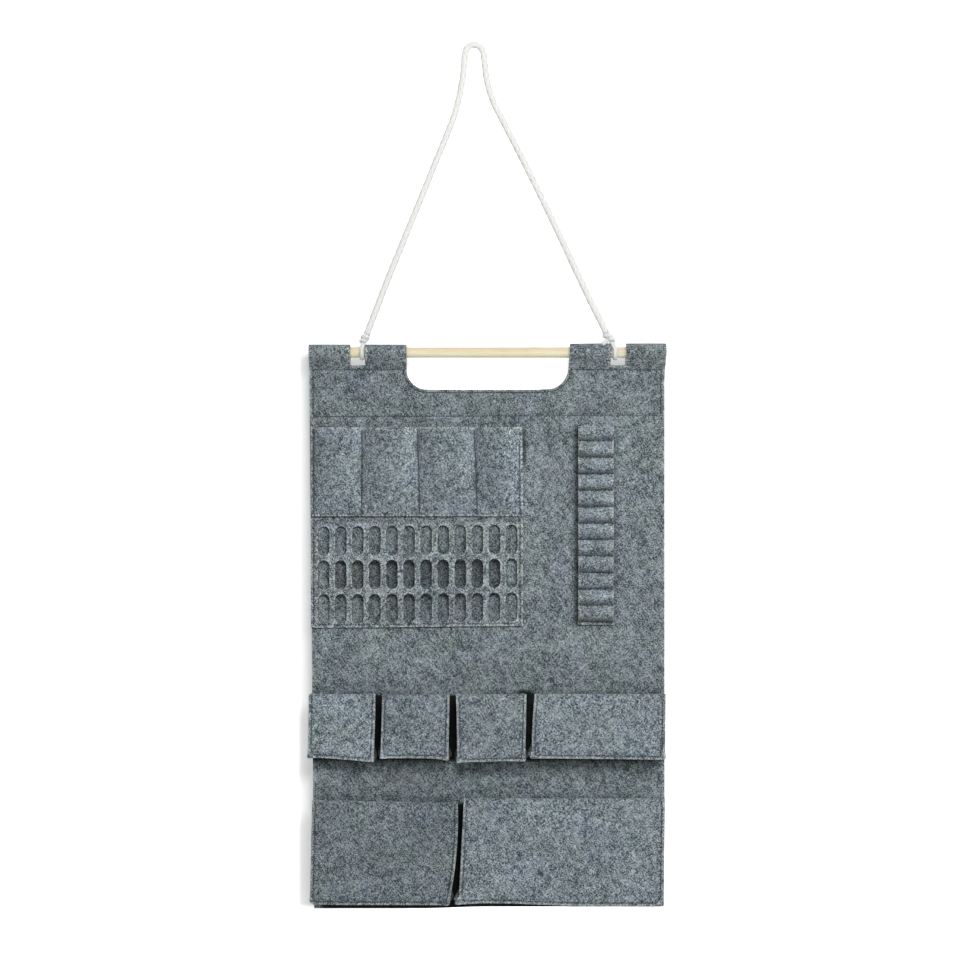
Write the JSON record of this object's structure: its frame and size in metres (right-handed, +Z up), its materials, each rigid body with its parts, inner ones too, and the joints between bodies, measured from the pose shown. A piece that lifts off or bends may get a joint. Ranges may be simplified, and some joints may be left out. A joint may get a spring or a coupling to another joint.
{
  "type": "wall hanging organizer",
  "caption": "Felt organizer hung from a rope on a wooden dowel, with tall pouches, a slotted sheet, side-opening tool loops and two rows of box pockets.",
  "frame": {"origin": "the point under the bend of the hanging rope where a hook bears, in the vertical plane of the dowel's axis", "axes": "+X to the right as seen from the front, +Y towards the wall, +Z up"},
  "size_m": [0.4209, 0.0344, 1.0181],
  "materials": {
    "felt": "mottled grey needle felt, matte",
    "pocket_felt": "mottled grey needle felt, matte, a shade lighter",
    "dowel_wood": "sanded pale hardwood",
    "rope_cotton": "braided off-white cotton"
  },
  "bodies": {
    "rope_hanger": {"hanging_rope": "rope_cotton", "left_knot": "rope_cotton", "right_knot": "rope_cotton"},
    "felt_organizer": {"felt_panel": "felt", "tall_pouch_strip": "felt", "slotted_sheet": "felt", "tool_loop_strip": "felt", "small_pocket_1_gusset": "felt", "small_pocket_1_front": "pocket_felt", "small_pocket_2_gusset": "felt", "small_pocket_2_front": "pocket_felt", "small_pocket_3_gusset": "felt", "small_pocket_3_front": "pocket_felt", "small_pocket_4_gusset": "felt", "small_pocket_4_front": "pocket_felt", "large_pocket_1_gusset": "felt", "large_pocket_1_front": "pocket_felt", "large_pocket_2_gusset": "felt", "large_pocket_2_front": "pocket_felt"},
    "dowel_rod": {"dowel": "dowel_wood"}
  },
  "joints": [
    {"name": "panel_swing", "type": "hinge", "parent": "rope_hanger", "child": "felt_organizer", "pos_m": [0.0153, 0, -0.3585], "axis": [-1, 0, 0], "range_deg": [0, 90]},
    {"name": "dowel_slide", "type": "slide", "parent": "felt_organizer", "child": "dowel_rod", "axis": [1, 0, 0], "range_m": [-0.415, 0.415]}
  ]
}
